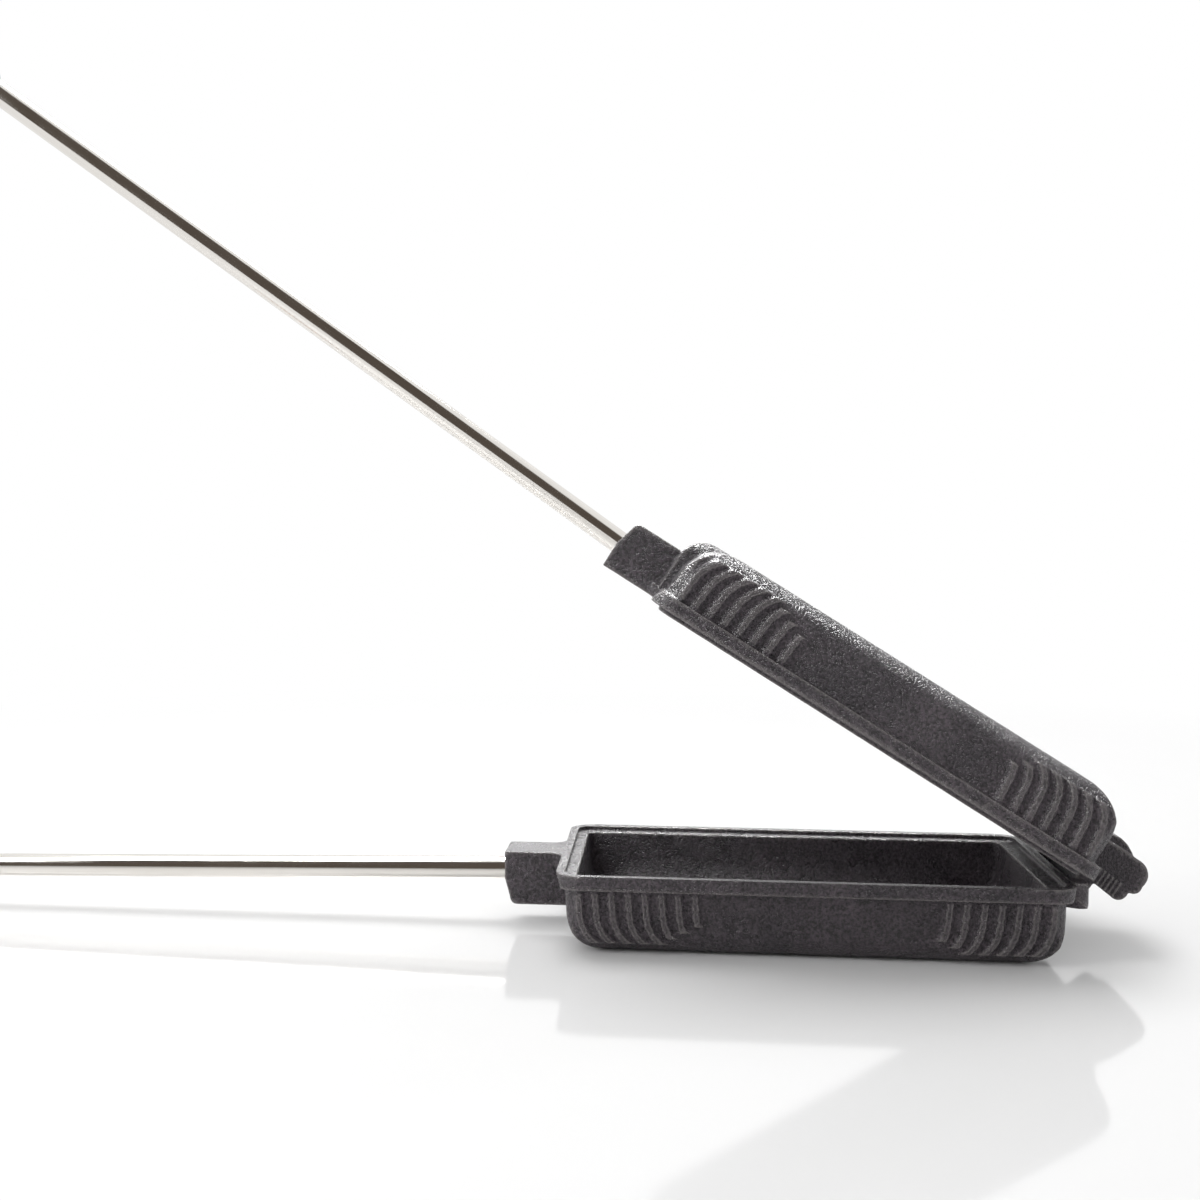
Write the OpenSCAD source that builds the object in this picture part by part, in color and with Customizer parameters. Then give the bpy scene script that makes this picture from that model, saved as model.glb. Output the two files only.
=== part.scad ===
// Long cast pie iron: two ribbed pans hinged at one end, each on a steel rod with a turned wooden handle.
// The origin is the centre of the lower pan's flat bottom. +X points to the hinge, +Z is up.
// The upper half is drawn open by the angle `opening`; every piece is placed by the modules below.

/* [Pans] */
// Length of the rim flange, without the rod socket and the hinge
pan_length = 203; // [180:1:240]
// Width of the rim flange
pan_width = 108; // [90:1:130]
// Height of one pan from its flat face to the parting plane
half_height = 32; // [29:0.5:38]
// Radius of the flange corners seen from above
corner_radius = 11; // [9:0.5:16]
// Radius of the long curve under each end of a pan
end_curve = 17.3; // [13:0.1:18]
// Radius of the curve along the two long bottom edges
side_curve = 10; // [8:0.5:14]
// Thickness of the cast wall under the cavity
floor_thickness = 4.2; // [3.6:0.1:7]
// Height of the flat band around the rim
flange_height = 6; // [4.5:0.25:8]
// How far the flange stands out from the long walls below it
flange_overhang = 2.6; // [1.6:0.2:3.2]
// How far the flange stands out from the end walls below it
end_overhang = 3.6; // [2.6:0.2:4.4]

/* [Rim] */
// Width of the flat rim between the outside and the cavity
rim_width = 8.4; // [7.6:0.2:10]
// Width of the raised lip that runs around the lower rim
lip_width = 3.9; // [3.2:0.1:4.4]
// Height of the raised lip
lip_height = 2; // [1.6:0.1:2.6]
// Side play between the lip and the tongue of the upper rim
tongue_play = 0.6; // [0.4:0.1:1]
// Extra rim width at the hinge end, where the tongue swings in
hinge_rim_extra = 2; // [1.6:0.1:3]

/* [Ribs] */
// Number of curved ribs on each side at the handle end; the hinge end has one fewer
rib_count = 8; // [4:1:9]
// Distance from one rib to the next
rib_pitch = 6.6; // [5.5:0.1:7.5]
// Width of a rib at its foot
rib_width = 3.8; // [3:0.2:4.6]
// Height of a rib above the wall
rib_height = 1.2; // [0.5:0.1:1.4]

/* [Rod sockets] */
// Length of the square socket beyond the flange
socket_length = 24.4; // [20:0.2:32]
// Width of the socket
socket_width = 22; // [19:0.5:28]
// Height of the socket
socket_height = 22.6; // [21:0.2:25]
// Depth of the blind bore that holds the rod
socket_bore_depth = 22; // [16:0.5:24]

/* [Rods] */
// Diameter of the two steel rods
rod_diameter = 10; // [8:0.5:11]
// Bare length of each rod between the socket and the ferrule
rod_bare_length = 345; // [240:5:460]
// Depth of the lower rod's axis below the parting plane, at the socket face
lower_rod_drop = 9.4; // [8.5:0.1:11]
// Height of the upper rod's axis above the parting plane, at the socket face
upper_rod_rise = 11.5; // [10:0.1:12]
// Angle by which the upper rod leans up from the parting plane
upper_rod_lean = 3.6; // [0:0.1:5]

/* [Handles] */
// Length of the wooden part
handle_length = 116; // [95:1:140]
// Largest diameter of the wooden part
handle_diameter = 25; // [22:0.5:25]
// Radius of the long barrel curve of the wood
handle_curve = 420; // [300:10:700]
// Length of the steel ferrule on the front of the wood
ferrule_length = 14; // [10:0.5:20]
// Room under the lower handle when the iron stands on its flat bottom
handle_clearance = 1.3; // [0.5:0.1:8]

/* [Hinge] */
// Angle between the two parting planes as drawn
opening = 32.1; // [10:0.1:60]
// Distance of the hinge pin beyond the end of the flange
pivot_out = 5.8; // [5:0.1:6.4]
// Depth of the hinge pin below the parting plane
pivot_drop = 10; // [9.5:0.25:13]
// Diameter of the hinge pin
pin_diameter = 3.5; // [3.5:0.25:5]
// Width of the cast knuckle that turns on the pin
knuckle_width = 45; // [30:1:52]
// Width of each cast ear beside the knuckle
ear_width = 12; // [9:0.5:15]

/* [Hidden] */
$fn = 96;

// Small distance used to make cutting solids stand clear of the faces they cut
clear_cut = 1;
// Amount by which a fillet circle crosses the lines that it rounds
bite = 0.01;
// Gap between the two rims when the iron is shut
rim_gap = 0.3;
// Radial play of the rods in the sockets and of the pin in its fixed bores
fixed_play = 0.03;
// Radial play of the pin in the turning knuckle
running_play = 0.08;
// Side gap between the knuckle and each ear
ear_gap = 0.6;

half_length = pan_length / 2;
half_width = pan_width / 2;
flange_z = half_height - flange_height;
shell_top = flange_z + 1;
wall_draft = 5;
flange_draft = 4;
flange_end_draft = 22;
cavity_draft = 7;
cavity_end_curve = end_curve - 3;
cavity_side_curve = side_curve - 1;

socket_x = -half_length - socket_length;
lower_rod_z = half_height - lower_rod_drop;
upper_rod_z = half_height + rim_gap + upper_rod_rise;

pivot_x = half_length + pivot_out;
pivot_z = half_height - pivot_drop;
ear_inner = knuckle_width / 2 + ear_gap;
ear_outer = ear_inner + ear_width;
ear_radius = pin_diameter / 2 + 1.5;

tail_diameter = 6;
tail_length = 8;
washer_thickness = 1.6;
nut_across_flats = 10;
handle_front = rod_bare_length;
handle_back = handle_front + handle_length;
neck_radius = rod_diameter / 2 + 3;
belly_share = 0.6;

// Angle by which the lower rod leans down, so that the thickest part of its handle just clears the ground
lower_rod_lean = asin((lower_rod_z - handle_diameter / 2 - handle_clearance)
                      / (handle_front + belly_share * handle_length));

cast_colour = [0.16, 0.16, 0.17];
steel_colour = [0.78, 0.79, 0.80];
wood_colour = [0.55, 0.36, 0.20];

// ---- outlines shared by both pans ----

// Rectangle with rounded corners, seen from above.
// Each corner circle is larger by the bite and is cut off at the sides, so that it crosses them.
module rounded_plan(length, width, radius) {
    intersection() {
        square([length, width], center = true);
        union() {
            square([length - 2 * radius, width + 2], center = true);
            square([length + 2, width - 2 * radius], center = true);
            for (side_x = [-1, 1])
                for (side_y = [-1, 1])
                    translate([side_x * (length / 2 - radius), side_y * (width / 2 - radius)])
                        circle(radius + bite);
        }
    }
}

// Cross-section of a drafted trough: flat bottom at zero, round bottom corners and leaning walls.
// half_span is the half width at the height top; grow moves the whole outline outwards.
module trough_outline(half_span, radius, draft, top, grow = 0) {
    centre_x = half_span - tan(draft) * (top - radius * (1 - sin(draft))) - radius * cos(draft);
    reach = radius + grow;
    tangent_x = centre_x + reach * cos(draft);
    tangent_z = radius - reach * sin(draft);
    top_x = tangent_x + tan(draft) * (top - tangent_z);
    bottom_x = tangent_x - tan(draft) * (tangent_z + grow);
    intersection() {
        polygon([[-bottom_x, -grow], [bottom_x, -grow], [top_x, top], [-top_x, top]]);
        union() {
            translate([-top_x - 1, tangent_z])
                square([2 * top_x + 2, top]);
            translate([-centre_x, -grow - 1])
                square([2 * centre_x, top]);
            for (side = [-1, 1])
                translate([side * centre_x, radius])
                    circle(reach + bite);
        }
    }
}

// Lays an outline drawn in X and Z along the whole width
module across(width) {
    rotate([90, 0, 0])
        linear_extrude(width, center = true)
            children();
}

// Lays an outline drawn in Y and Z along the whole length
module along(length) {
    rotate([90, 0, 90])
        linear_extrude(length, center = true)
            children();
}

// ---- the ribbed shell, drawn as the lower pan with its bottom at zero ----

// Long walls and bottom of the pan below the flange, running straight through at both ends
module side_walls(grow = 0) {
    intersection() {
        along(pan_length)
            trough_outline(half_width - flange_overhang, side_curve, wall_draft, shell_top, grow);
        linear_extrude(shell_top)
            rounded_plan(pan_length - 2 * end_overhang + 2 * grow,
                         pan_width - 2 * flange_overhang + 2 * grow,
                         corner_radius - flange_overhang + grow);
    }
}

// Solid block of the pan below the flange
module shell_block() {
    intersection() {
        side_walls();
        across(pan_width)
            trough_outline(half_length - end_overhang, end_curve, wall_draft, shell_top);
    }
}

// Rim flange with slightly leaning long sides and strongly leaning ends
module flange_block() {
    lean = tan(flange_draft) * flange_height;
    end_lean = tan(flange_end_draft) * flange_height;
    intersection() {
        translate([0, 0, flange_z])
            linear_extrude(flange_height)
                rounded_plan(pan_length, pan_width, corner_radius);
        across(pan_width)
            polygon([[-half_length + end_lean, flange_z], [half_length - end_lean, flange_z],
                     [half_length, half_height], [-half_length, half_height]]);
        along(pan_length)
            polygon([[-half_width + lean, flange_z], [half_width - lean, flange_z],
                     [half_width, half_height], [-half_width, half_height]]);
    }
}

// Height above the flat face at which a rib begins: where the curves still leave a groove between them.
// The innermost ribs are cut shorter.
function rib_foot(index) =
    end_curve * (1 - cos(asin(min(0.95, 1.15 * rib_width / rib_pitch)))) + max(0, index - rib_count + 4) * 2.6;

// Side view of one pair of ribs, each a copy of the end curve moved towards the middle.
// The innermost one is only at the handle end.
module rib_outline(index, width) {
    span = half_length - end_overhang - rib_pitch * (index + 0.85);
    clip_length = index < rib_count - 1 ? pan_length : half_length;
    intersection() {
        difference() {
            trough_outline(span, end_curve, wall_draft, shell_top, width / 2);
            trough_outline(span, end_curve, wall_draft, shell_top + clear_cut, -width / 2);
        }
        translate([-half_length, rib_foot(index)])
            square([clip_length, flange_z + 0.5 - rib_foot(index)]);
    }
}

// All ribs of one pan, wrapped over the long sides; a narrow high layer on a wide low one rounds the crests
module ribs() {
    for (layer = [[1, 0.5], [0.58, 1]])
        intersection() {
            across(pan_width)
                for (index = [0 : rib_count - 1])
                    rib_outline(index, rib_width * layer[0]);
            side_walls(rib_height * layer[1]);
        }
}

// Hollow of a pan with leaning walls and rounded bottom, open above the rim
module cavity() {
    top = half_height + lip_height + clear_cut;
    spread = tan(cavity_draft) * (lip_height + clear_cut);
    span_x = half_length - rim_width - hinge_rim_extra / 2 + spread;
    span_y = half_width - rim_width + spread;
    round_play = 0.2;
    translate([-hinge_rim_extra / 2, 0, 0])
        intersection() {
            translate([0, 0, floor_thickness])
                across(pan_width)
                    trough_outline(span_x, cavity_end_curve, cavity_draft, top - floor_thickness);
            translate([0, 0, floor_thickness])
                along(pan_length)
                    trough_outline(span_y, cavity_side_curve, cavity_draft, top - floor_thickness);
            translate([0, 0, floor_thickness - clear_cut])
                linear_extrude(top)
                    rounded_plan(2 * (span_x + round_play), 2 * (span_y + round_play), corner_radius - 4.3);
        }
}

// Socket block at the handle end, with flared roots where it meets the flange
module socket_block() {
    root = 7;
    flare = 5;
    slant = 2.3;
    nose = 3;
    low_z = half_height - socket_height;
    intersection() {
        across(pan_width)
            union() {
                translate([socket_x + slant + nose, low_z])
                    square([socket_length + root - slant - nose, socket_height]);
                translate([socket_x + slant + nose, low_z + nose])
                    circle(nose);
                polygon([[socket_x, half_height], [socket_x, half_height - socket_height / 2],
                         [socket_x + slant, low_z + nose], [socket_x + slant + nose, low_z + nose],
                         [socket_x + slant + nose, half_height]]);
            }
        union() {
            linear_extrude(half_height)
                translate([socket_x, -socket_width / 2])
                    square([socket_length + root, socket_width]);
            translate([0, 0, flange_z + 0.5])
                linear_extrude(flange_height)
                    difference() {
                        translate([-half_length - flare, -socket_width / 2 - flare])
                            square([flare + root, socket_width + 2 * flare]);
                        for (side = [-1, 1])
                            translate([-half_length - flare, side * (socket_width / 2 + flare)])
                                circle(flare);
                    }
        }
    }
}

// Rounded shoulder that carries the upper socket into the end of its pan
module socket_shoulder() {
    curve = 12;
    draft = 1;
    side_draft = 12;
    depth = 24;
    half_span = socket_width / 2 + 5;
    intersection() {
        across(pan_width)
            trough_outline(half_length - 0.2, curve, draft, shell_top);
        along(pan_length)
            trough_outline(half_span, curve, side_draft, shell_top);
        translate([-half_length, -half_width, 0])
            cube([depth, pan_width, shell_top]);
    }
}

// Everything the two pans share, before the rim and the hinge are cut
module plain_pan() {
    shell_block();
    flange_block();
    ribs();
    socket_block();
}

// ---- placing ----

// Turns a flat-bottomed pan over so that its rim meets the lower rim
module turned_over() {
    translate([0, 0, 2 * half_height + rim_gap])
        mirror([0, 0, 1])
            children();
}

// Swings the upper half open about the hinge pin
module opened() {
    translate([pivot_x, 0, pivot_z])
        rotate([0, opening, 0])
            translate([-pivot_x, 0, -pivot_z])
                children();
}

// Lays parts drawn along +Z on the lower rod's axis, starting at the socket face
module on_lower_rod() {
    translate([socket_x, 0, lower_rod_z])
        rotate([0, -90 - lower_rod_lean, 0])
            children();
}

// Lays parts drawn along +Z on the upper rod's axis, starting at the socket face
module on_upper_rod() {
    opened()
        translate([socket_x, 0, upper_rod_z])
            rotate([0, -90 + upper_rod_lean, 0])
                children();
}

// Blind bore that takes the end of a rod
module rod_bore() {
    translate([0, 0, -socket_bore_depth])
        cylinder(h = socket_bore_depth + 3 * clear_cut, d = rod_diameter + 2 * fixed_play);
}

// Bar along the hinge axis from one Y to another
module hinge_bar(from_y, to_y, diameter) {
    translate([pivot_x, to_y, pivot_z])
        rotate([90, 0, 0])
            cylinder(h = to_y - from_y, d = diameter);
}

// ---- the lower pan ----

// Side view of an ear: a drooping plate that ends in a round boss about the pin
module ear_outline() {
    root = 5;
    top_z = half_height - 1;
    outer_x = pivot_x + ear_radius;
    polygon([[half_length - root, top_z], [half_length, top_z],
             [outer_x - 1.2, top_z - 1.3], [outer_x, top_z - 2.4], [outer_x, pivot_z],
             [pivot_x, pivot_z - ear_radius], [half_length - root, pivot_z - ear_radius + 2.2]]);
    translate([pivot_x, pivot_z])
        circle(ear_radius);
}

// One ear's outline with a rounded outer corner, where the first direction runs out from the pan or
// up from the pin and the second runs along the pin
module ear_corner(low, high, round_corner) {
    intersection() {
        translate([low, ear_inner])
            square([high - low, ear_width]);
        union() {
            translate([low - 1, ear_inner - 1])
                square([high - low + 2, ear_width + 1 - round_corner]);
            translate([low - 1, ear_inner - 1])
                square([high - low + 1 - round_corner, ear_width + 2]);
            translate([high - round_corner, ear_outer - round_corner])
                circle(round_corner + bite);
        }
    }
}

// The pair of ears, rounded at their outer corners as seen from above and from the end
module ears() {
    for (side = [-1, 1])
        mirror([0, side > 0 ? 0 : 1, 0])
            intersection() {
                across(pan_width)
                    ear_outline();
                linear_extrude(half_height)
                    ear_corner(half_length - 6, pivot_x + ear_radius, 8);
                translate([half_length - 6, 0, half_height])
                    rotate([0, 90, 0])
                        linear_extrude(pivot_out + ear_radius + 6)
                            ear_corner(0, pivot_drop + ear_radius, 7);
            }
}

module lower_pan() {
    color(cast_colour)
        difference() {
            union() {
                plain_pan();
                ears();
            }
            cavity();
            translate([0, 0, half_height - lip_height])
                linear_extrude(lip_height + clear_cut)
                    rounded_plan(pan_length - 2 * lip_width, pan_width - 2 * lip_width,
                                 corner_radius - lip_width);
            on_lower_rod()
                rod_bore();
            hinge_bar(-ear_outer + 5, ear_outer + clear_cut, pin_diameter + 2 * fixed_play);
        }
}

// Steel pin driven in from the +Y side; the other ear is blind
module hinge_pin() {
    color(steel_colour)
        hinge_bar(-ear_outer + 5.2, ear_outer - 4, pin_diameter);
}

// ---- the upper pan ----

// Height of a point of the hinge lug above the closed parting plane
function lug_z(height) = half_height + rim_gap + height;

// Side view of the crown, the high middle part of the lug
module crown_outline() {
    polygon([[half_length - 7, lug_z(3)], [half_length - 7, lug_z(18.2)], [half_length, lug_z(18.4)],
             [half_length + 7.9, lug_z(18.8)], [half_length + 10.9, lug_z(19.3)],
             [half_length + 14.5, lug_z(18.4)], [half_length + 18.1, lug_z(16.4)],
             [half_length + 20.5, lug_z(13.5)], [half_length + 17, lug_z(3)]]);
}

// Side view of the cheeks: blunt nose, ridged chin, flat underside and the knuckle on the pin
module cheek_outline() {
    knuckle_radius = ear_radius - 0.2;
    polygon([[half_length - 7, lug_z(0)], [half_length + 0.8, lug_z(0)], [half_length + 0.8, lug_z(-1.2)],
             [half_length + 8.5, lug_z(-1.9)], [half_length + 17.6, lug_z(-2.9)], [half_length + 20, lug_z(2)],
             [half_length + 23, lug_z(12.8)], [half_length + 18.9, lug_z(15.6)],
             [half_length + 9.6, lug_z(16.2)], [half_length - 7, lug_z(15)]]);
    translate([half_length + 18.9, lug_z(9.1)])
        circle(6.6);
    translate([half_length + 22, lug_z(5.9)])
        circle(3.5);
    translate([half_length + 18.2, lug_z(0.9)])
        circle(3.9);
    translate([pivot_x, pivot_z])
        circle(knuckle_radius);
    polygon([[pivot_x - knuckle_radius, pivot_z],
             [pivot_x + knuckle_radius * 0.8, pivot_z + knuckle_radius * 0.6],
             [half_length + 8.6, lug_z(-1)], [half_length + 0.8, lug_z(-1)]]);
}

// Hinge lug of the upper pan, drawn shut
module lug() {
    ridge_count = 6;
    ridge_pitch = 1.9;
    crown_width = knuckle_width * 0.56;
    across(knuckle_width - 1.2)
        cheek_outline();
    across(crown_width)
        crown_outline();
    for (ridge = [0 : ridge_count - 1])
        translate([half_length + 7.6 + ridge * ridge_pitch, 0, lug_z(-1.4 - ridge * 0.2)])
            linear_extrude(6.4)
                square([1.1, knuckle_width], center = true);
}

// Raised tongue of the upper rim, drawn shut
module tongue() {
    depth = lip_height - 0.3;
    hinge_play = 2.4;
    inset = lip_width + tongue_play;
    translate([(tongue_play - hinge_play) / 2, 0, half_height + rim_gap - depth])
        linear_extrude(depth + clear_cut)
            rounded_plan(pan_length - 2 * inset - hinge_play + tongue_play, pan_width - 2 * inset,
                         corner_radius - inset);
}

module upper_pan() {
    color(cast_colour)
        opened()
            difference() {
                union() {
                    turned_over() {
                        plain_pan();
                        socket_shoulder();
                    }
                    tongue();
                    lug();
                }
                turned_over()
                    cavity();
                translate([socket_x, 0, upper_rod_z])
                    rotate([0, -90 + upper_rod_lean, 0])
                        rod_bore();
                hinge_bar(-half_width, half_width, pin_diameter + 2 * running_play);
            }
}

// ---- rod, ferrule, handle, washer and nut, drawn along +Z from the socket face ----

module rod() {
    translate([0, 0, -socket_bore_depth + 0.1])
        cylinder(h = socket_bore_depth + handle_back - 0.1, d = rod_diameter);
    translate([0, 0, handle_back])
        cylinder(h = tail_length, d = tail_diameter);
}

// Steel cup over the neck of the wood
module ferrule() {
    front_wall = 1.6;
    translate([0, 0, handle_front - front_wall])
        rotate_extrude()
            difference() {
                polygon([[0, 0], [neck_radius - 0.6, 0], [neck_radius + 0.6, 1.2],
                         [neck_radius + 1, ferrule_length], [0, ferrule_length]]);
                square([rod_diameter / 2 + fixed_play, ferrule_length]);
                translate([0, front_wall])
                    square([neck_radius + fixed_play, ferrule_length]);
            }
}

// Turned wooden barrel with a neck at the front and a bore for the rod
module handle() {
    belly = handle_diameter / 2;
    neck_length = ferrule_length - 1.6;
    end_round = 5;
    translate([0, 0, handle_front])
        rotate_extrude()
            difference() {
                union() {
                    square([neck_radius, handle_length / 2]);
                    intersection() {
                        translate([0, neck_length])
                            square([belly, handle_length - neck_length]);
                        translate([belly - handle_curve, handle_length * belly_share])
                            circle(handle_curve, $fn = 720);
                        union() {
                            square([belly, handle_length - end_round]);
                            square([belly - end_round - 1, handle_length]);
                            translate([belly - end_round - 1, handle_length - end_round])
                                circle(end_round);
                        }
                    }
                }
                square([rod_diameter / 2 + fixed_play, handle_length]);
            }
}

module washer() {
    translate([0, 0, handle_back])
        difference() {
            cylinder(h = washer_thickness, d = 15);
            translate([0, 0, -clear_cut])
                cylinder(h = washer_thickness + 2 * clear_cut, d = tail_diameter + 0.2);
        }
}

// Domed hexagon nut on the threaded tail
module nut() {
    flat_height = 5;
    dome_radius = nut_across_flats / 2 - 0.2;
    translate([0, 0, handle_back + washer_thickness])
        difference() {
            union() {
                cylinder(h = flat_height, d = nut_across_flats / cos(30), $fn = 6);
                translate([0, 0, flat_height])
                    sphere(dome_radius);
            }
            translate([0, 0, -clear_cut])
                cylinder(h = tail_length - washer_thickness + clear_cut + 0.2, d = tail_diameter + 0.06);
        }
}

module lower_rod() {
    color(steel_colour)
        on_lower_rod()
            rod();
}

module lower_ferrule() {
    color(steel_colour)
        on_lower_rod()
            ferrule();
}

module lower_handle() {
    color(wood_colour)
        on_lower_rod()
            handle();
}

module lower_washer() {
    color(steel_colour)
        on_lower_rod()
            washer();
}

module lower_nut() {
    color(steel_colour)
        on_lower_rod()
            nut();
}

module upper_rod() {
    color(steel_colour)
        on_upper_rod()
            rod();
}

module upper_ferrule() {
    color(steel_colour)
        on_upper_rod()
            ferrule();
}

module upper_handle() {
    color(wood_colour)
        on_upper_rod()
            handle();
}

module upper_washer() {
    color(steel_colour)
        on_upper_rod()
            washer();
}

module upper_nut() {
    color(steel_colour)
        on_upper_rod()
            nut();
}

lower_pan();
lower_rod();
lower_ferrule();
lower_handle();
lower_washer();
lower_nut();
hinge_pin();
upper_pan();
upper_rod();
upper_ferrule();
upper_handle();
upper_washer();
upper_nut();
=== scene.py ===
import math

import bpy
import numpy as np
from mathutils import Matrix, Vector


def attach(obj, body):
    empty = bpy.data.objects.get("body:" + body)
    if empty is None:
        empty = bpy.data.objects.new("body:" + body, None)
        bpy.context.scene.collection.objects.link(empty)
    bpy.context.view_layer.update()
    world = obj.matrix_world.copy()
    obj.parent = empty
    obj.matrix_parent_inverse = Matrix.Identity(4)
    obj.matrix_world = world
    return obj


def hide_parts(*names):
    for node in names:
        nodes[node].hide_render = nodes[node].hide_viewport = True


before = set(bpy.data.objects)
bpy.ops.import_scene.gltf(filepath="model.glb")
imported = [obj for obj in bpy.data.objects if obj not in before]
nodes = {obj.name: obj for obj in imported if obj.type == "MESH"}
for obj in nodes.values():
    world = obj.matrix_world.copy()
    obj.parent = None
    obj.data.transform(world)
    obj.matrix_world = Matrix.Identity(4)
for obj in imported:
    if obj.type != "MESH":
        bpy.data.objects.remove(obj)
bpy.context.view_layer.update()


# ---- The two cast pans ----
# Grey iron cast in green sand, one casting to each half: ribbed trough, rim flange, rod socket and
# hinge. It is left as cast, then oiled and baked, which turns it nearly black with a dull sheen.

# The skin of a casting, in metres, and how finely it is drawn.
VOXEL = 0.0004
MERGE_WITHIN = 0.000002
EDGE_PASSES = 2
EDGE_SOFTENING = 0.5
SKIN_WAVE = 0.006
SKIN_DEPTH = 0.00012
PAN_TRIANGLES = 190000

# How far a point stands out over its neighbours, in metres, where wear and painted highlight start and
# where they are full.
RAISED_PASSES = 4
RAISED_FROM = 0.000003
RAISED_TO = 0.000022

# The wide curve along the hollow's long bottom edges, in millimetres and degrees, in the lower pan's
# place. The upper pan's hollow is the same, turned over at the parting plane and opened at the pivot.
HOLLOW_FLOOR = 4.2
HOLLOW_SIDE = 42.19
HOLLOW_LEAN = 7.0
END_RADIUS = 8.8
MID_RADIUS = 17.0
BAR_FROM = -86.0
BAR_TO = 84.0
BAR_TAPER = 16.0
BAR_STEPS = 60
ARC_STEPS = 14
BURIED = 0.8
PARTING_PLANE = 32.15
PIVOT = (107.3, 22.0)
OPENING = 32.1
MM_IN_METRE = 1000


def srgb(hex_colour):
    """A linear colour from an sRGB hex value."""
    channels = [int(hex_colour[i:i + 2], 16) / 255 for i in (1, 3, 5)]
    linear = [c / 12.92 if c <= 0.04045 else ((c + 0.055) / 1.055) ** 2.4 for c in channels]
    return (*linear, 1.0)


def add(tree, kind, values=None, links=None, **settings):
    """Adds a node with its settings, its constant inputs and its linked inputs."""
    node = tree.nodes.new(kind)
    for name, value in settings.items():
        setattr(node, name, value)
    for socket, value in (values or {}).items():
        node.inputs[socket].default_value = value
    for socket, source in (links or {}).items():
        tree.links.new(source, node.inputs[socket])
    return node


def new_material(name):
    """A new material with an empty node tree."""
    material = bpy.data.materials.new(name)
    material.use_nodes = True
    material.node_tree.nodes.clear()
    return material, material.node_tree


def give(piece, material):
    """Puts one material on all of a piece."""
    piece.data.materials.clear()
    piece.data.materials.append(material)


def per_metre(size_mm):
    """The texture scale that makes a pattern of this size."""
    return MM_IN_METRE / size_mm


def pick_only(piece):
    """Makes one piece the only selected and the active one."""
    bpy.ops.object.select_all(action="DESELECT")
    piece.select_set(True)
    bpy.context.view_layer.objects.active = piece


def inner_curve(name, side, turned):
    """A closed bar of iron that fills one long bottom edge of a hollow out to a wider curve."""
    # Each ring is an arc that touches the hollow's floor and its leaning side, closed by three points
    # that lie inside the iron. The arc narrows to just under the hollow's own radius at the two ends.
    buried_points = 3
    lean = math.radians(HOLLOW_LEAN)
    reach = 1 / math.tan((math.pi / 2 + lean) / 2)
    points, faces = [], []
    for step in range(BAR_STEPS + 1):
        x = BAR_FROM + (BAR_TO - BAR_FROM) * step / BAR_STEPS
        blend = min(1, (x - BAR_FROM) / BAR_TAPER, (BAR_TO - x) / BAR_TAPER)
        radius = END_RADIUS + (MID_RADIUS - END_RADIUS) * blend * blend * (3 - 2 * blend)
        centre_y, centre_z = HOLLOW_SIDE - radius * reach, HOLLOW_FLOOR + radius
        for turn in range(ARC_STEPS + 1):
            angle = -math.pi / 2 + (math.pi / 2 - lean) * turn / ARC_STEPS
            points.append((x, centre_y + radius * math.cos(angle), centre_z + radius * math.sin(angle)))
        wall_y, wall_z = points[-1][1:]
        points.append((x, wall_y + BURIED, wall_z))
        points.append((x, HOLLOW_SIDE + BURIED, HOLLOW_FLOOR - BURIED))
        points.append((x, centre_y, HOLLOW_FLOOR - BURIED))
    ring = ARC_STEPS + 1 + buried_points
    for step in range(BAR_STEPS):
        for corner in range(ring):
            after = (corner + 1) % ring
            faces.append((step * ring + corner, step * ring + after,
                          (step + 1) * ring + after, (step + 1) * ring + corner))
    faces.append(tuple(range(ring)))
    faces.append(tuple(BAR_STEPS * ring + corner for corner in range(ring)))
    places = []
    for x, y, z in points:
        if turned:
            z = 2 * PARTING_PLANE - z
            out, up = x - PIVOT[0], z - PIVOT[1]
            turn = math.radians(OPENING)
            x = PIVOT[0] + out * math.cos(turn) + up * math.sin(turn)
            z = PIVOT[1] - out * math.sin(turn) + up * math.cos(turn)
        places.append((x / MM_IN_METRE, side * y / MM_IN_METRE, z / MM_IN_METRE))
    mesh = bpy.data.meshes.new(name)
    mesh.from_pydata(places, [], faces)
    bar = bpy.data.objects.new(name, mesh)
    bpy.context.scene.collection.objects.link(bar)
    pick_only(bar)
    bpy.ops.object.mode_set(mode="EDIT")
    bpy.ops.mesh.select_all(action="SELECT")
    bpy.ops.mesh.normals_make_consistent(inside=False)
    bpy.ops.object.mode_set(mode="OBJECT")
    return bar


def mark_raised(mesh):
    """Stores at each point how sharply the casting stands out there, from 0 on the flat to 1 on an edge."""
    count = len(mesh.vertices)
    ends = np.empty(2 * len(mesh.edges), dtype=np.int64)
    mesh.edges.foreach_get("vertices", ends)
    ends = ends.reshape(-1, 2)
    near, far = np.concatenate([ends[:, 0], ends[:, 1]]), np.concatenate([ends[:, 1], ends[:, 0]])
    shared = np.bincount(near, minlength=count)

    def around(values):
        """The average of a value over each point's neighbours."""
        return np.bincount(near, weights=values[far], minlength=count) / shared

    place, normal = np.empty(3 * count), np.empty(3 * count)
    mesh.vertices.foreach_get("co", place)
    mesh.vertices.foreach_get("normal", normal)
    place, normal = place.reshape(-1, 3), normal.reshape(-1, 3)
    proud = sum((place[:, axis] - around(place[:, axis])) * normal[:, axis] for axis in range(3))
    for _ in range(RAISED_PASSES):
        proud = 0.5 * (proud + around(proud))
    raised = np.clip((proud - RAISED_FROM) / (RAISED_TO - RAISED_FROM), 0, 1)
    mesh.attributes.new("raised", "FLOAT", "POINT").data.foreach_set("value", raised.astype(np.float32))


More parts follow.
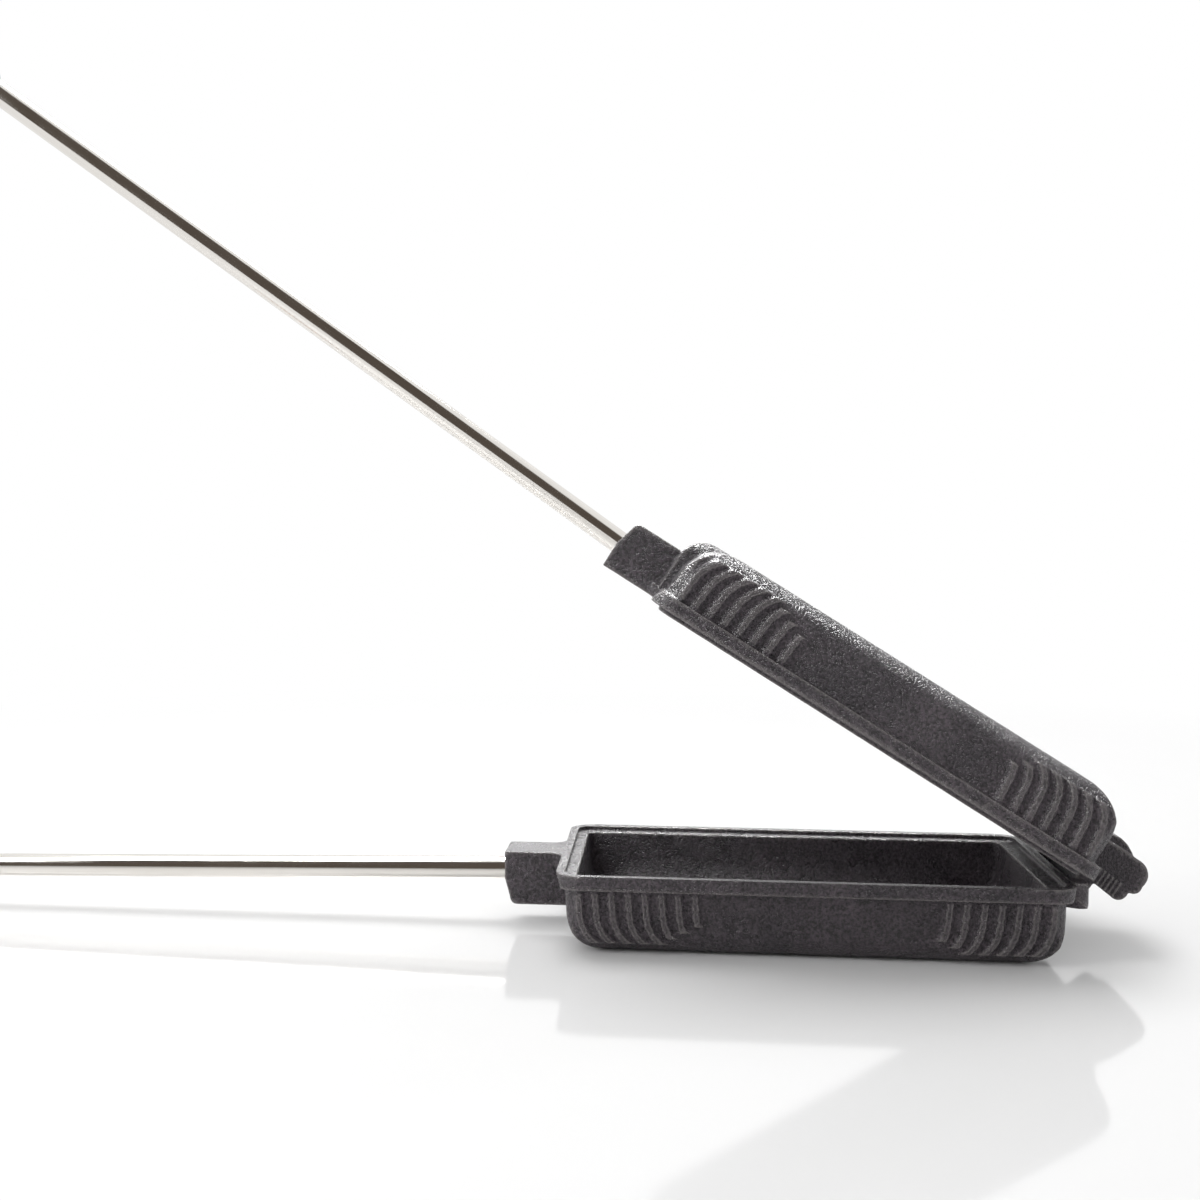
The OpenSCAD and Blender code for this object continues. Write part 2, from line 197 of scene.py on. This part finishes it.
def as_cast(cad_name, body):
    """A pan with the softened edges and the slightly uneven skin of a sand casting."""
    cad = nodes[cad_name]
    piece = bpy.data.objects.new(cad_name + "_casting", cad.data.copy())
    bpy.context.scene.collection.objects.link(piece)
    turned = cad_name == "upper_pan"
    bars = [inner_curve(f"{cad_name}_curve_{side + 1}", side, turned) for side in (-1, 1)]
    pick_only(piece)
    bpy.ops.object.mode_set(mode="EDIT")
    bpy.ops.mesh.select_all(action="SELECT")
    bpy.ops.mesh.remove_doubles(threshold=MERGE_WITHIN)
    bpy.ops.object.mode_set(mode="OBJECT")
    for bar in bars:
        bar.select_set(True)
    bpy.ops.object.join()

    skin = piece.modifiers.new("sand_mould", "REMESH")
    skin.mode = "VOXEL"
    skin.voxel_size = VOXEL
    soften = piece.modifiers.new("shot_blast", "SMOOTH")
    soften.factor = EDGE_SOFTENING
    soften.iterations = EDGE_PASSES
    bpy.ops.object.modifier_apply(modifier="sand_mould")
    bpy.ops.object.modifier_apply(modifier="shot_blast")

    mark_raised(piece.data)

    # The skin only sinks from the CAD's surface, so the pan never grows past it.
    uneven = bpy.data.textures.new(cad_name + "_skin", "CLOUDS")
    uneven.noise_scale = SKIN_WAVE
    uneven.noise_depth = 1
    swell = piece.modifiers.new("uneven_skin", "DISPLACE")
    swell.texture = uneven
    swell.texture_coords = "LOCAL"
    swell.strength = SKIN_DEPTH
    swell.mid_level = 1.0
    bpy.ops.object.modifier_apply(modifier="uneven_skin")

    piece.data.calc_loop_triangles()
    thin = piece.modifiers.new("fewer_faces", "DECIMATE")
    thin.ratio = min(1, PAN_TRIANGLES / len(piece.data.loop_triangles))
    bpy.ops.object.modifier_apply(modifier="fewer_faces")
    bpy.ops.object.shade_smooth()
    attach(piece, body)
    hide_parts(cad_name)
    return piece


# Baked oil on a sand-cast skin: a dull brownish black whose grains each catch the light. Edges and
# ribs are smoother and a lighter grey, partly from rubbed wear and partly painted highlight. The real
# grain of 0.3 mm is too fine to show and is drawn coarser. Patterns are sized in millimetres and bump
# depths are in metres.
SAND_GRAIN = 1.15
SAND_DEPTH = 0.0007
FINE_GRAIN = 0.5
FINE_DEPTH = 0.0005
OIL_PATCH = 22.0
WEAR_AND_HIGHLIGHT_SHARE = 0.38
RUBBED_ROUGHNESS = 0.2

cast_iron, tree = new_material("seasoned_sand_cast_iron")
place = add(tree, "ShaderNodeTexCoord").outputs["Object"]
grain = add(tree, "ShaderNodeTexNoise", {"Scale": per_metre(SAND_GRAIN), "Detail": 2, "Roughness": 0.6},
            {"Vector": place})
fine = add(tree, "ShaderNodeTexNoise", {"Scale": per_metre(FINE_GRAIN), "Detail": 1}, {"Vector": place})
patch = add(tree, "ShaderNodeTexNoise", {"Scale": per_metre(OIL_PATCH), "Detail": 4, "Roughness": 0.6},
            {"Vector": place})
coarse_skin = add(tree, "ShaderNodeBump", {"Strength": 1.0, "Distance": SAND_DEPTH},
                  {"Height": grain.outputs["Fac"]})
rough_skin = add(tree, "ShaderNodeBump", {"Strength": 1.0, "Distance": FINE_DEPTH},
                 {"Height": fine.outputs["Fac"], "Normal": coarse_skin.outputs["Normal"]})
tone = add(tree, "ShaderNodeValToRGB", links={"Fac": patch.outputs["Fac"]})
tone.color_ramp.elements[0].position = 0.3
tone.color_ramp.elements[0].color = srgb("#2B262B")
tone.color_ramp.elements[1].position = 0.72
tone.color_ramp.elements[1].color = srgb("#423B40")
speck = add(tree, "ShaderNodeMapRange",
            {"From Min": 0.36, "From Max": 0.66, "To Min": 0.40, "To Max": 1.9},
            {"Value": grain.outputs["Fac"]})
grained = add(tree, "ShaderNodeVectorMath",
              links={0: tone.outputs["Color"], "Scale": speck.outputs["Result"]}, operation="SCALE")
raised = add(tree, "ShaderNodeAttribute", attribute_name="raised").outputs["Fac"]
wear_and_highlight = add(tree, "ShaderNodeMapRange",
             {"From Min": 0.1, "From Max": 1.0, "To Min": 0.0, "To Max": WEAR_AND_HIGHLIGHT_SHARE},
             {"Value": raised})
# Edges and ribs are mixed toward a light grey: partly rubbed wear, partly a painted highlight.
worn_and_highlit = add(tree, "ShaderNodeMix", {"B": srgb("#9A9593")},
           {"Factor": wear_and_highlight.outputs["Result"], "A": grained.outputs["Vector"]}, data_type="RGBA")
gloss = add(tree, "ShaderNodeMapRange",
            {"From Min": 0.3, "From Max": 0.7, "To Min": 0.24, "To Max": 0.33},
            {"Value": patch.outputs["Fac"]})
polished = add(tree, "ShaderNodeMix", {"B": RUBBED_ROUGHNESS},
               {"Factor": raised, "A": gloss.outputs["Result"]})
iron = add(tree, "ShaderNodeBsdfPrincipled", {"Metallic": 0.0, "Specular IOR Level": 0.5},
           {"Base Color": worn_and_highlit.outputs["Result"], "Roughness": polished.outputs["Result"],
            "Normal": rough_skin.outputs["Normal"]})
add(tree, "ShaderNodeOutputMaterial", links={"Surface": iron.outputs["BSDF"]})

for half in ("lower", "upper"):
    give(as_cast(half + "_pan", half + "_half"), cast_iron)


# ---- The two rods ----
# Round mild-steel bar, drawn through a die, polished and nickel-chrome plated. Each is held in its
# cast socket at one end and runs through its handle to a nut at the other.

# Each rod's lean in degrees, and how far its axis passes from the origin, square to it, in metres.
ROD_LEAN = {"lower": 1.216, "upper": -35.70}
ROD_LIFT = {"lower": 0.02526, "upper": 0.08765}


def along_rod(tree, half, across_mm, along_mm):
    """Object coordinates with X along a rod's axis, scaled to a pattern's size along and across it."""
    place = add(tree, "ShaderNodeTexCoord").outputs["Object"]
    centred = add(tree, "ShaderNodeMapping",
                  {"Rotation": (0, math.radians(ROD_LEAN[half]), 0), "Location": (0, 0, -ROD_LIFT[half])},
                  {"Vector": place})
    sized = (per_metre(along_mm), per_metre(across_mm), per_metre(across_mm))
    stretched = add(tree, "ShaderNodeMapping", {"Scale": sized}, {"Vector": centred.outputs["Vector"]})
    return stretched.outputs["Vector"]


# Plated drawn bar: a bright mirror, streaked along its length by the faint lines of the die and a
# little hazy in places. The real lines are under 0.1 mm and are drawn coarser.
DRAW_LINE = 0.9
DRAW_LENGTH = 60.0
DRAW_DEPTH = 0.00003
HAZE_WIDTH = 5.0
HAZE_LENGTH = 18.0

for half in ("lower", "upper"):
    chrome, tree = new_material(half + "_plated_drawn_steel")
    lines = add(tree, "ShaderNodeTexNoise", {"Scale": 1.0, "Detail": 3, "Roughness": 0.6},
                {"Vector": along_rod(tree, half, DRAW_LINE, DRAW_LENGTH)})
    haze = add(tree, "ShaderNodeTexNoise", {"Scale": 1.0, "Detail": 3, "Roughness": 0.6},
               {"Vector": along_rod(tree, half, HAZE_WIDTH, HAZE_LENGTH)})
    polish = add(tree, "ShaderNodeMapRange",
                 {"From Min": 0.3, "From Max": 0.7, "To Min": 0.07, "To Max": 0.16},
                 {"Value": haze.outputs["Fac"]})
    plating = add(tree, "ShaderNodeMix", {"A": srgb("#D6D2CC"), "B": srgb("#ECE9E5")},
                  {"Factor": lines.outputs["Fac"]}, data_type="RGBA")
    drawn = add(tree, "ShaderNodeBump", {"Strength": 0.05, "Distance": DRAW_DEPTH},
                {"Height": lines.outputs["Fac"]})
    bar = add(tree, "ShaderNodeBsdfPrincipled", {"Metallic": 1},
              {"Base Color": plating.outputs["Result"], "Roughness": polish.outputs["Result"],
               "Normal": drawn.outputs["Normal"]})
    add(tree, "ShaderNodeOutputMaterial", links={"Surface": bar.outputs["BSDF"]})
    give(nodes[half + "_rod"], chrome)


# ---- The hinge pin ----
# A headless pin of plain steel wire, driven in from one side: through an ear of the lower casting and
# the knuckle of the upper one, into a blind hole in the other ear. The fire has blackened it.

# Fire-blackened wire: blue-black scale, thin enough on the high spots for grey steel to show.
SCALE_PATCH = 1.6
PIT_DEPTH = 0.0001

black_steel, tree = new_material("fire_blackened_steel_wire")
place = add(tree, "ShaderNodeTexCoord").outputs["Object"]
oxide = add(tree, "ShaderNodeTexNoise",
            {"Scale": per_metre(SCALE_PATCH), "Detail": 3, "Roughness": 0.65}, {"Vector": place})
scale = add(tree, "ShaderNodeMix", {"A": srgb("#3E3C3E"), "B": srgb("#77726E")},
            {"Factor": oxide.outputs["Fac"]}, data_type="RGBA")
dulled = add(tree, "ShaderNodeMapRange",
             {"From Min": 0.3, "From Max": 0.7, "To Min": 0.34, "To Max": 0.55},
             {"Value": oxide.outputs["Fac"]})
pitted = add(tree, "ShaderNodeBump", {"Strength": 0.5, "Distance": PIT_DEPTH},
             {"Height": oxide.outputs["Fac"]})
pin = add(tree, "ShaderNodeBsdfPrincipled", {"Metallic": 1},
          {"Base Color": scale.outputs["Result"], "Roughness": dulled.outputs["Result"],
           "Normal": pitted.outputs["Normal"]})
add(tree, "ShaderNodeOutputMaterial", links={"Surface": pin.outputs["BSDF"]})
give(nodes["hinge_pin"], black_steel)


# ---- The two handles ----
# Beech turned on a lathe and bored along its length for the rod, then sanded and dipped in clear
# varnish. Each has a ferrule on its front end, and a washer and a nut hold it from behind.

# Varnished beech: warm straw brown with close, straight grain, short darker flecks along it and a
# smooth clear coat that shines over the wood.
BEECH_GRAIN = 1.1
GRAIN_LENGTH = 30.0
PORE_DEPTH = 0.00015
FLECK = 0.8
FLECK_LENGTH = 4.0
GROWTH_BAND = 9.0
BAND_LENGTH = 110.0

for half in ("lower", "upper"):
    beech, tree = new_material(half + "_varnished_turned_beech")
    grain = add(tree, "ShaderNodeTexNoise",
                {"Scale": 1.0, "Detail": 4, "Roughness": 0.6, "Distortion": 0.3},
                {"Vector": along_rod(tree, half, BEECH_GRAIN, GRAIN_LENGTH)})
    growth = add(tree, "ShaderNodeTexNoise",
                 {"Scale": 1.0, "Detail": 2, "Roughness": 0.5, "Distortion": 0.6},
                 {"Vector": along_rod(tree, half, GROWTH_BAND, BAND_LENGTH)})
    flecks = add(tree, "ShaderNodeTexNoise", {"Scale": 1.0, "Detail": 1},
                 {"Vector": along_rod(tree, half, FLECK, FLECK_LENGTH)})
    marked = add(tree, "ShaderNodeMapRange",
                 {"From Min": 0.60, "From Max": 0.68, "To Min": 0.0, "To Max": 0.55},
                 {"Value": flecks.outputs["Fac"]})
    timber = add(tree, "ShaderNodeMix", {"A": srgb("#8F5B34"), "B": srgb("#CB9763")},
                 {"Factor": grain.outputs["Fac"]}, data_type="RGBA")
    heart = add(tree, "ShaderNodeMapRange",
                {"From Min": 0.35, "From Max": 0.65, "To Min": 0.0, "To Max": 0.45},
                {"Value": growth.outputs["Fac"]})
    banded = add(tree, "ShaderNodeMix", {"B": srgb("#9A6238")},
                 {"Factor": heart.outputs["Result"], "A": timber.outputs["Result"]}, data_type="RGBA")
    flecked = add(tree, "ShaderNodeMix", {"B": srgb("#6E4426")},
                  {"Factor": marked.outputs["Result"], "A": banded.outputs["Result"]}, data_type="RGBA")
    sanded = add(tree, "ShaderNodeMapRange",
                 {"From Min": 0.3, "From Max": 0.7, "To Min": 0.5, "To Max": 0.38},
                 {"Value": grain.outputs["Fac"]})
    open_grain = add(tree, "ShaderNodeBump", {"Strength": 0.35, "Distance": PORE_DEPTH},
                     {"Height": grain.outputs["Fac"]})
    varnish = add(tree, "ShaderNodeBsdfPrincipled", {"Coat Weight": 0.4, "Coat Roughness": 0.22},
                  {"Base Color": flecked.outputs["Result"], "Roughness": sanded.outputs["Result"],
                   "Normal": open_grain.outputs["Normal"]})
    add(tree, "ShaderNodeOutputMaterial", links={"Surface": varnish.outputs["BSDF"]})
    give(nodes[half + "_handle"], beech)


# ---- The ferrules, washers and nuts ----
# Each handle has a turned steel collar pressed on its front end, and a washer and a domed hexagon
# nut on the threaded end of the rod behind it. All are zinc plated.

# Zinc on turned steel: a soft grey shine, ringed by the lathe tool and clouded by the plating bath.
# The real rings are about 0.1 mm apart and are drawn coarser, and so wide that they run right round.
TOOL_MARK = 0.7
MARK_DEPTH = 0.00006
ROUND_THE_ROD = 80.0
BATH_CLOUD = 4.0

for half in ("lower", "upper"):
    zinc, tree = new_material(half + "_zinc_plated_turned_steel")
    rings = add(tree, "ShaderNodeTexNoise", {"Scale": 1.0, "Detail": 2, "Roughness": 0.6},
                {"Vector": along_rod(tree, half, ROUND_THE_ROD, TOOL_MARK)})
    cloud = add(tree, "ShaderNodeTexNoise", {"Scale": 1.0, "Detail": 3, "Roughness": 0.6},
                {"Vector": along_rod(tree, half, BATH_CLOUD, BATH_CLOUD)})
    coat = add(tree, "ShaderNodeMix", {"A": srgb("#A9ABAE"), "B": srgb("#DADADA")},
               {"Factor": cloud.outputs["Fac"]}, data_type="RGBA")
    satin = add(tree, "ShaderNodeMapRange",
                {"From Min": 0.3, "From Max": 0.7, "To Min": 0.22, "To Max": 0.38},
                {"Value": cloud.outputs["Fac"]})
    ringed = add(tree, "ShaderNodeBump", {"Strength": 0.5, "Distance": MARK_DEPTH},
                 {"Height": rings.outputs["Fac"]})
    collar = add(tree, "ShaderNodeBsdfPrincipled", {"Metallic": 1},
                 {"Base Color": coat.outputs["Result"], "Roughness": satin.outputs["Result"],
                  "Normal": ringed.outputs["Normal"]})
    add(tree, "ShaderNodeOutputMaterial", links={"Surface": collar.outputs["BSDF"]})
    for fitting in ("ferrule", "washer", "nut"):
        give(nodes[f"{half}_{fitting}"], zinc)


# ---- The table top ----
# A sheet of polished white acrylic, larger than the view, that the iron lies on. It looks plain white
# with a clear, faint reflection, which fades out with the shadows between two distances from the
# middle, in metres.

TABLE_SIZE = 12.0
GLOSS_FROM = 0.35
GLOSS_TO = 1.0
TABLE_SHINE = 0.5

bpy.ops.object.select_all(action="DESELECT")
bpy.ops.mesh.primitive_plane_add(size=TABLE_SIZE, location=(0, 0, 0))
table = bpy.context.object
table.name = "table_top"
acrylic, tree = new_material("glossy_white_acrylic")
place = add(tree, "ShaderNodeTexCoord").outputs["Object"]
away = add(tree, "ShaderNodeVectorMath", {1: (0.0, 0.0, 0.0)}, {0: place}, operation="DISTANCE")
near = add(tree, "ShaderNodeMapRange",
           {"From Min": GLOSS_FROM, "From Max": GLOSS_TO, "To Min": TABLE_SHINE, "To Max": 0.0},
           {"Value": away.outputs["Value"]}, interpolation_type="SMOOTHSTEP")
sheet = add(tree, "ShaderNodeBsdfPrincipled",
            {"Base Color": srgb("#FAFAFA"), "Roughness": 0.07, "IOR": 1.49},
            {"Specular IOR Level": near.outputs["Result"]})
fade = add(tree, "ShaderNodeMapRange",
           {"From Min": GLOSS_FROM, "From Max": GLOSS_TO, "To Min": 0.0, "To Max": 1.0},
           {"Value": away.outputs["Value"]}, interpolation_type="SMOOTHSTEP")
paper = add(tree, "ShaderNodeEmission", {"Color": (1, 1, 1, 1), "Strength": 1.0})
both = add(tree, "ShaderNodeMixShader",
           links={0: fade.outputs["Result"], 1: sheet.outputs["BSDF"], 2: paper.outputs["Emission"]})
add(tree, "ShaderNodeOutputMaterial", links={"Surface": both.outputs["Shader"]})
give(table, acrylic)


# ---- Light ----
# A white room with two soft boxes, one above and behind and one on the left. Two more strips show only
# as highlights on what shines. Behind the camera a glowing dark sheet, seen only in reflections, is
# painted shade for the dark side of the room; it is what the bright bars mirror.

AIM = (0, 0, 0.05)
ROOM_LIGHT = 0.55
SHADE_SHEET_AT = (-0.3, -1.5, 2.0)
SHADE_SHEET_WIDTH = 4.4
SHADE_SHEET_HEIGHT = 4.0


def soft_box(name, at, width, height, power):
    """A rectangular lamp with a plain white face, turned to the iron."""
    lamp = bpy.data.lights.new(name, "AREA")
    lamp.shape = "RECTANGLE"
    lamp.size = width
    lamp.size_y = height
    lamp.energy = power
    holder = bpy.data.objects.new(name, lamp)
    bpy.context.scene.collection.objects.link(holder)
    holder.location = at
    holder.rotation_euler = (Vector(AIM) - Vector(at)).to_track_quat("-Z", "Y").to_euler()
    return holder


soft_box("top_box", at=(-0.30, 0.50, 1.40), width=1.0, height=0.8, power=12)
soft_box("left_box", at=(-1.25, -0.75, 0.75), width=0.7, height=0.7, power=6)
back_strip = soft_box("back_strip", at=(-0.15, 0.70, 1.37), width=0.85, height=0.5, power=115)
back_strip.visible_diffuse = False
side_strip = soft_box("side_strip", at=(-0.75, -0.30, 1.25), width=0.35, height=0.7, power=22)
side_strip.visible_diffuse = False

bpy.ops.object.select_all(action="DESELECT")
# A sheet of painted shade, standing for the dark side of the room behind the camera.
bpy.ops.mesh.primitive_plane_add(size=1, location=SHADE_SHEET_AT, rotation=(math.radians(90), 0, 0))
painted_shade_sheet = bpy.context.object
painted_shade_sheet.name = "painted_room_shade"
painted_shade_sheet.scale = (SHADE_SHEET_WIDTH, SHADE_SHEET_HEIGHT, 1)
painted_shade_sheet.visible_camera = False
painted_shade_sheet.visible_diffuse = False
painted_shade_sheet.visible_shadow = False
# Painted shade: a dark brown sheet that glows evenly, seen only in reflections, whose two sides fade into
# the white room.
painted_room_shade, tree = new_material("painted_dark_room_shade")
place = add(tree, "ShaderNodeTexCoord").outputs["Object"]
sides = add(tree, "ShaderNodeSeparateXYZ", links={"Vector": place})
across = add(tree, "ShaderNodeMath", links={0: sides.outputs["X"]}, operation="ABSOLUTE")
fading = add(tree, "ShaderNodeMapRange",
             {"From Min": 0.32, "From Max": 0.5, "To Min": 0.0, "To Max": 1.0},
             {"Value": across.outputs["Value"]}, interpolation_type="SMOOTHSTEP")
shade = add(tree, "ShaderNodeMix", {"A": srgb("#5A524B"), "B": (1.0, 1.0, 1.0, 1.0)},
            {"Factor": fading.outputs["Result"]}, data_type="RGBA")
glow = add(tree, "ShaderNodeEmission", {"Strength": 1.0}, {"Color": shade.outputs["Result"]})
add(tree, "ShaderNodeOutputMaterial", links={"Surface": glow.outputs["Emission"]})
give(painted_shade_sheet, painted_room_shade)

world = bpy.data.worlds.new("white_room")
bpy.context.scene.world = world
world.use_nodes = True
tree = world.node_tree
tree.nodes.clear()
path = add(tree, "ShaderNodeLightPath")
seen = add(tree, "ShaderNodeMath",
           links={0: path.outputs["Is Camera Ray"], 1: path.outputs["Is Glossy Ray"]}, operation="MAXIMUM")
room = add(tree, "ShaderNodeBackground", {"Color": (1, 1, 1, 1), "Strength": ROOM_LIGHT})
wall = add(tree, "ShaderNodeBackground", {"Color": (1, 1, 1, 1), "Strength": 1.0})
mixed = add(tree, "ShaderNodeMixShader",
            links={0: seen.outputs["Value"], 1: room.outputs["Background"], 2: wall.outputs["Background"]})
add(tree, "ShaderNodeOutputWorld", links={"Surface": mixed.outputs["Shader"]})


# ---- Camera ----
# It stands 635 mm in front of the iron's middle and 167 mm above the table, turned a little to the
# left and looking slightly down. Its angles are in degrees, and its focal length and the middle of
# its view are in pixels of a frame that is 1200 pixels wide.

CAMERA_AT = (-0.05573, -0.63502, 0.16688)
TURN_LEFT = 6.21
LOOK_DOWN = 2.49
ROLL = -0.17
FRAME_PIXELS = 1200
FOCAL_PIXELS = 1481.9
MIDDLE_PIXELS = 510.84
SENSOR_WIDTH = 36
NEAREST = 0.01
FARTHEST = 20

camera = bpy.data.objects.new("camera", bpy.data.cameras.new("camera"))
bpy.context.scene.collection.objects.link(camera)
camera.location = CAMERA_AT
camera.rotation_euler = (math.radians(90 - LOOK_DOWN), math.radians(ROLL), math.radians(TURN_LEFT))
camera.data.sensor_width = SENSOR_WIDTH
camera.data.lens = SENSOR_WIDTH * (FOCAL_PIXELS / FRAME_PIXELS)
camera.data.shift_x = 0.5 - MIDDLE_PIXELS / FRAME_PIXELS
camera.data.clip_start = NEAREST
camera.data.clip_end = FARTHEST
bpy.context.scene.camera = camera

bpy.context.scene.view_settings.view_transform = "Standard"
